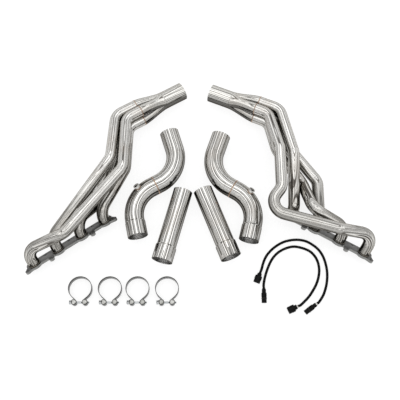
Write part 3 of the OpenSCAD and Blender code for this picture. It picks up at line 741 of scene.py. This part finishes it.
def merge_ring(share, shrink):
    """Points round a collector, from the four lobes at share 0 to the round outlet at share 1."""
    flow = EVEN_FLOW * share + (1 - EVEN_FLOW) * (3 * share**2 - 2 * share**3)
    points = []
    for lobe in range(LOBES):
        toward = math.radians(360 / LOBES * lobe)
        middle = Vector((math.cos(toward), math.sin(toward))) * BUNDLE_R
        for i in range(LOBE_POINTS):
            part = 2 * i / (LOBE_POINTS - 1) - 1
            turn = toward + part * LOBE_HALF
            mouth = middle + Vector((math.cos(turn), math.sin(turn))) * (PRIMARY_OD / 2 - shrink)
            turn = toward + part * OUTLET_HALF
            end = Vector((math.cos(turn), math.sin(turn))) * (OUTLET_OD / 2 - shrink)
            points.append(mouth.lerp(end, flow))
    return points


def merge_mesh(side):
    """Shell of one collector, in the row frame."""
    build = bmesh.new()
    across, top = bundle_axes(side)
    axis = collector_axis(side)
    shells = []
    for shrink in (0.0, MERGE_WALL):
        rings = []
        for step in range(MERGE_STEPS + 1):
            share = step / MERGE_STEPS
            origin = collector_middle(side) + axis * COLLECTOR_L * share
            ring = [build.verts.new(origin + across * x + top * y) for x, y in merge_ring(share, shrink)]
            rings.append(ring)
        shells.append(rings)
    for rings in shells:
        for first, second in zip(rings, rings[1:]):
            bridge(build, first, second)
    outer, inner = shells
    for step in (0, MERGE_STEPS):
        bridge(build, outer[step], inner[step])
    return mesh_of(build, f"{SIDES[side]}_merge")


for side in (LEFT, RIGHT):
    mesh = merge_mesh(side)
    finish_mesh(mesh, FINISHES["collector_steel"])
    merge = new_piece(f"{SIDES[side]}_merge", mesh, f"{SIDES[side]}_header")
    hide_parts(f"{SIDES[side]}_collector")

# Clamp bands, rounded copies standing in for the imported bands


for k in CLAMPS:
    mesh = rounded_mesh(f"clamp_{k}_band", BAND_ROUND)
    finish_mesh(mesh, FINISHES["band_steel"])
    band = bpy.data.objects.new(f"clamp_{k}_strap", mesh)
    bpy.context.scene.collection.objects.link(band)
    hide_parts(f"clamp_{k}_band")
    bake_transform(band)

# Clamp bolts with rolled threads

BOLT_PITCH = 0.00125
THREAD_DEPTH = 0.0007
THREAD_STEPS = 6
THREAD_SIDES = 24
THREAD_L = 0.030
THREAD_RUN_IN = 0.002
TIP_CHAMFER = 0.001
SHANK_SINK = 0.001
SHANK_START = 0.0005
SHANK_END = 0.001
HEAD_L = 0.0065
HEAD_SIDES = 6
HEAD_TOP = 0.86
HEAD_TOP_CHAMFER = 0.0009
HEAD_BASE = 0.9
HEAD_BASE_CHAMFER = 0.0005


def skin(build, rings):
    """Makes a solid of rings of points: faces between them and a cap at each end."""
    for first, second in zip(rings, rings[1:]):
        bridge(build, first, second)
    build.faces.new(rings[0])
    build.faces.new(rings[-1])


def bolt_mesh(k):
    """Hexagon bolt along +X, threaded at its end."""
    low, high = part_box(f"clamp_{k}_bolt")
    y = (low.y + high.y) / 2
    z = (low.z + high.z) / 2
    shoulder = low.x + HEAD_L
    tip = high.x
    thread_start = tip - THREAD_L
    build = bmesh.new()
    stations = [shoulder - SHANK_SINK, shoulder + SHANK_START, thread_start - SHANK_END]
    count = round(THREAD_L / BOLT_PITCH * THREAD_STEPS)
    stations += [thread_start + THREAD_L * i / count for i in range(count + 1)]
    shank = []
    for x in stations:
        ring = []
        for j in range(THREAD_SIDES):
            angle = math.tau * j / THREAD_SIDES
            turn = ((x - thread_start) / BOLT_PITCH - j / THREAD_SIDES) % 1
            depth = THREAD_DEPTH * abs(2 * turn - 1)
            run_in = min(max((x - thread_start) / THREAD_RUN_IN, 0), 1)
            chamfer = max(0, TIP_CHAMFER - (tip - x))
            radius = BOLT_D / 2 - max(depth * run_in, chamfer)
            ring.append(build.verts.new((x, y + radius * math.cos(angle), z + radius * math.sin(angle))))
        shank.append(ring)
    skin(build, shank)
    corner = BOLT_HEX / 2 / math.cos(math.radians(180 / HEAD_SIDES))
    outline = (
        (low.x, corner * HEAD_TOP),
        (low.x + HEAD_TOP_CHAMFER, corner),
        (shoulder - HEAD_BASE_CHAMFER, corner),
        (shoulder, corner * HEAD_BASE),
    )
    head = []
    for x, radius in outline:
        ring = []
        for j in range(HEAD_SIDES):
            angle = math.radians(360 / HEAD_SIDES * j)
            ring.append(build.verts.new((x, y + radius * math.sin(angle), z + radius * math.cos(angle))))
        head.append(ring)
    skin(build, head)
    return mesh_of(build, f"clamp_{k}_screw_bolt")


for k in CLAMPS:
    mesh = bolt_mesh(k)
    finish_mesh(mesh, FINISHES["bolt_steel"])
    bolt = new_piece(f"clamp_{k}_screw_bolt", mesh, body_of_node[f"clamp_{k}_bolt"])
    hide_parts(f"clamp_{k}_bolt")

# Cables and their connectors

# Steps between two points of a route, finer than in the part's source
CABLE_STEPS = 6


def cable_route(k):
    """Smooth points along a cable, level with its connectors at both ends."""
    floor = CABLE_FLOOR[k - 1]
    last = len(floor) - 1
    points = []
    for i, (x, y) in enumerate(floor):
        z = CABLE_D / 2
        if i < LEVEL_POINTS:
            z = SOCKET_H / 2
        if i > last - LEVEL_POINTS:
            z = PLUG_H / 2
        points.append(in_kit((x, y, z)))
    route = []
    for i in range(last):
        b = points[i]
        c = points[i + 1]
        start = c - b if i == 0 else (c - points[i - 1]) / 2
        end = c - b if i == last - 1 else (points[i + 2] - b) / 2
        for step in range(CABLE_STEPS):
            t = step / CABLE_STEPS
            at = b * (2 * t**3 - 3 * t**2 + 1) + start * (t**3 - 2 * t**2 + t)
            at = at + c * (3 * t**2 - 2 * t**3) + end * (t**3 - t**2)
            at.z = b.z + (c.z - b.z) * t
            route.append(at)
    route.append(points[last])
    return route


def cable_curve(name, route):
    """Round cable along a route."""
    curve = bpy.data.curves.new(name, "CURVE")
    curve.dimensions = "3D"
    curve.bevel_depth = CABLE_D / 2
    curve.bevel_resolution = 6
    curve.use_fill_caps = True
    spline = curve.splines.new("POLY")
    spline.points.add(len(route) - 1)
    for spot, at in zip(spline.points, route):
        spot.co = (*at, 1)
    spline.use_smooth = True
    return curve


for k in CABLES:
    for name, width in CONNECTOR_ROUND.items():
        round_off(f"cable_{k}_{name}", f"cable_{k}_{name}_shell", width)
for k in CABLES:
    route = cable_route(k)
    curve = cable_curve(f"cable_{k}_sheath", route)
    curve.materials.append(FINISHES["cable_rubber"])
    sheath = new_piece(f"cable_{k}_sheath", curve, f"cable_{k}")
    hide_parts(f"cable_{k}_lead")

# Weld beads

BEAD_R = 0.0009
WIDE_BEAD_R = 0.0016
BUNG_BEAD_R = BEAD_R * 1.3
BEAD_SIDES = 8
BEAD_STEP = 0.0006
RIPPLE_L = 0.0026
RIPPLE_SWELL = 0.22
BEAD_LOWEST = 0.0001
BUNG_POINTS = 120
BUNG_RIPPLES = 30
HALVINGS = 30

# Shares of a bead's radius: its height and width, and how far its middle stands out of a tube or in it
BEAD_HEIGHT = 0.8
BEAD_WIDTH = 1.5
PORT_BEAD_OUT = 0.4
NECK_BEAD_IN = 0.4
SEAM_BEAD_IN = 0.45


def sweep_bead(build, loop, across, radius, ripples):
    """Adds a closed rippled bead to a bmesh, along points that each have an outward direction."""
    count = len(loop)
    rings = []
    for i, (at, outward) in enumerate(loop):
        swell = 1 + RIPPLE_SWELL * abs(math.sin(math.pi * ripples * i / count))
        ring = []
        for j in range(BEAD_SIDES):
            angle = math.tau * j / BEAD_SIDES
            aside = outward * math.cos(angle) * BEAD_HEIGHT + across * math.sin(angle) * BEAD_WIDTH
            spot = at + aside * radius * swell
            spot.z = max(spot.z, BEAD_LOWEST)
            ring.append(build.verts.new(spot))
        rings.append(ring)
    for i in range(count):
        bridge(build, rings[i], rings[(i + 1) % count])


def ring_loop(middle, axis, radius, count):
    """Points of a circle round an axis, with the outward direction at each."""
    first = axis.orthogonal().normalized()
    second = axis.cross(first)
    loop = []
    for i in range(count):
        angle = math.tau * i / count
        outward = first * math.cos(angle) + second * math.sin(angle)
        loop.append((middle + outward * radius, outward))
    return loop


def bung_loop(side):
    """Points where a bung meets its pipe, with the bung's outward direction at each."""
    along = s_heading(side, 1)
    inward = plan(S_TURN[side] + S_SIDE[side] * (S_FIRST_BEND - 90))
    bend_middle = s_weld(side) + along * S_MIDDLE_L / 2 + inward * PIPE_BEND_R
    turn = math.radians(BUNG_TURN)
    lift = math.radians(BUNG_LIFT)
    out = -inward * math.cos(turn) + along * math.sin(turn)
    foot = bend_middle + out * PIPE_BEND_R
    axis = out * math.cos(lift) + UP * math.sin(lift)
    loop = []
    for edge, outward in ring_loop(foot, axis, BUNG_OD / 2, BUNG_POINTS):
        low = 0.0
        high = PIPE_OD
        for _ in range(HALVINGS):
            height = (low + high) / 2
            spoke = edge + axis * height - bend_middle
            level = Vector((spoke.x, spoke.y, 0))
            gap = math.hypot(level.length - PIPE_BEND_R, spoke.z) - PIPE_OD / 2
            if gap < 0:
                low = height
            else:
                high = height
        loop.append((edge + axis * low, outward))
    return loop


def bead_piece(name, build, body, finish=WELD):
    """Smooth piece made of a bmesh's beads."""
    bmesh.ops.recalc_face_normals(build, faces=build.faces)
    mesh = bpy.data.meshes.new(name)
    build.to_mesh(mesh)
    build.free()
    mesh.shade_smooth()
    finish_mesh(mesh, finish)
    new_piece(name, mesh, body)


def weld_piece(name, rings, body, finish=WELD, bead_r=BEAD_R):
    """Piece made of rippled rings, each given as a middle, an axis and a radius."""
    build = bmesh.new()
    for middle, axis, radius in rings:
        around = math.tau * radius
        loop = ring_loop(middle, axis, radius, round(around / BEAD_STEP))
        sweep_bead(build, loop, axis, bead_r, round(around / RIPPLE_L))
    bead_piece(name, build, body, finish)


for side in (LEFT, RIGHT):
    label = SIDES[side]
    axis = collector_axis(side)
    ports = [(port(side, i), flange_normal(side), PRIMARY_OD / 2 + BEAD_R * PORT_BEAD_OUT) for i in PRIMARIES]
    weld_piece(f"{label}_port_welds", ports, f"{label}_header", PORT_WELD)
    mouths = [(middle, axis, PRIMARY_OD / 2) for middle in inlets(side)]
    weld_piece(f"{label}_inlet_welds", mouths, f"{label}_header")
    neck = collector_middle(side) + axis * COLLECTOR_L
    neck_ring = (neck, axis, OUTLET_OD / 2 - BEAD_R * NECK_BEAD_IN)
    neck_finish = FINISHES["collector_steel"]
    weld_piece(f"{label}_neck_weld", [neck_ring], f"{label}_header", neck_finish)
    seam = (s_weld(side), s_heading(side, 1), PIPE_OD / 2 - WIDE_BEAD_R * SEAM_BEAD_IN)
    weld_piece(f"{label}_s_pipe_weld", [seam], f"{label}_s_pipe", bead_r=WIDE_BEAD_R)
    build = bmesh.new()
    sweep_bead(build, bung_loop(side), UP, BUNG_BEAD_R, BUNG_RIPPLES)
    bead_piece(f"{label}_bung_weld", build, f"{label}_s_pipe")

# Floor

FLOOR_SIZE = 400
FLOOR_Z = -0.0004
FLOOR_COLOR = (0.93, 0.93, 0.93)
FLOOR_WHITE = 0.7
FLOOR_GLOW = 1.18


def floor_material():
    """Matt white floor that looks part of the way to pure white and keeps a soft shadow."""
    material, tree, shader = new_material("floor")
    shader.inputs["Base Color"].default_value = (*FLOOR_COLOR, 1)
    shader.inputs["Roughness"].default_value = 1
    shader.inputs["Specular IOR Level"].default_value = 0
    path = add_node(tree, "LightPath").outputs
    seen = calculate(tree, "MAXIMUM", path["Is Camera Ray"], path["Is Glossy Ray"])
    seen = calculate(tree, "MAXIMUM", seen, path["Is Transmission Ray"])
    share = calculate(tree, "MULTIPLY", seen, FLOOR_WHITE)
    white = add_node(tree, "Emission", {"Color": (1, 1, 1, 1), "Strength": FLOOR_GLOW})
    both = add_node(tree, "MixShader", {0: share, 1: shader.outputs[0], 2: white.outputs[0]})
    tree.links.new(both.outputs[0], tree.nodes["Material Output"].inputs["Surface"])
    return material


build = bmesh.new()
bmesh.ops.create_grid(build, x_segments=1, y_segments=1, size=FLOOR_SIZE / 2)
floor_mesh = bpy.data.meshes.new("floor")
build.to_mesh(floor_mesh)
build.free()
floor_mesh.materials.append(floor_material())
floor = bpy.data.objects.new("floor", floor_mesh)
floor.location.z = FLOOR_Z
bpy.context.scene.collection.objects.link(floor)

# Light: a studio tent in bands, each given as the sine of its lower edge's elevation and its strength
TENT_BANDS = (
    (0.00, 0.80),
    (0.29, 0.46),
    (0.34, 0.84),
    (0.45, 0.62),
    (0.55, 0.98),
    (0.66, 0.78),
    (0.74, 1.14),
    (0.85, 0.88),
    (0.91, 1.12),
)
BAND_SOFT = 0.012
TENT_WAVE = 0.05

# The wall below this height is plain
TENT_WALL = 0.29
WALL_SOFT = 0.04

# Thin strips round the tent, as their number and how far they stand out
TENT_LINES = 26
TENT_CONTRAST = 0.45


def tent_bands(tree, height, peak):
    """Grey of the tent's bands at a height, as a share of the brightest one."""
    ramp = add_node(tree, "ValToRGB", {"Fac": height})
    ramp.color_ramp.interpolation = "EASE"
    marks = []
    for i, (low, strength) in enumerate(TENT_BANDS):
        top = TENT_BANDS[i + 1][0] if i + 1 < len(TENT_BANDS) else 1.0
        marks.append((low + BAND_SOFT, strength))
        marks.append((top - BAND_SOFT, strength))
    stops = ramp.color_ramp.elements
    while len(stops) < len(marks):
        stops.new(0.5)
    for stop, (at, strength) in zip(stops, marks):
        stop.position = at
        stop.color = (strength / peak, strength / peak, strength / peak, 1)
    return ramp.outputs["Color"]


def studio_world():
    """Sets up the tent as the world's light."""
    world = bpy.data.worlds.new("studio")
    bpy.context.scene.world = world
    world.use_nodes = True
    tree = world.node_tree
    direction = add_node(tree, "TexCoord").outputs["Generated"]
    height = add_node(tree, "SeparateXYZ", {"Vector": direction}).outputs["Z"]
    wave = noise(tree, direction, scale=2.5, detail=1.0)
    wave = map_range(tree, wave, NOISE_LOW, NOISE_HIGH, -TENT_WAVE, TENT_WAVE)
    wavy = calculate(tree, "ADD", height, wave)
    peak = max(strength for _, strength in TENT_BANDS)
    strand = line_noise(tree, wavy, TENT_LINES, detail=1.0)
    lines = map_range(tree, strand, SHARP_LOW, SHARP_HIGH, 1 - TENT_CONTRAST, 1 + TENT_CONTRAST)
    above_wall = map_range(tree, wavy, TENT_WALL - WALL_SOFT, TENT_WALL + WALL_SOFT, 0, 1)
    lines = mix_values(tree, above_wall, 1.0, lines)
    background = tree.nodes["Background"]
    tree.links.new(tent_bands(tree, wavy, peak), background.inputs["Color"])
    tree.links.new(calculate(tree, "MULTIPLY", lines, peak), background.inputs["Strength"])


studio_world()
bpy.context.scene.view_settings.view_transform = "Standard"
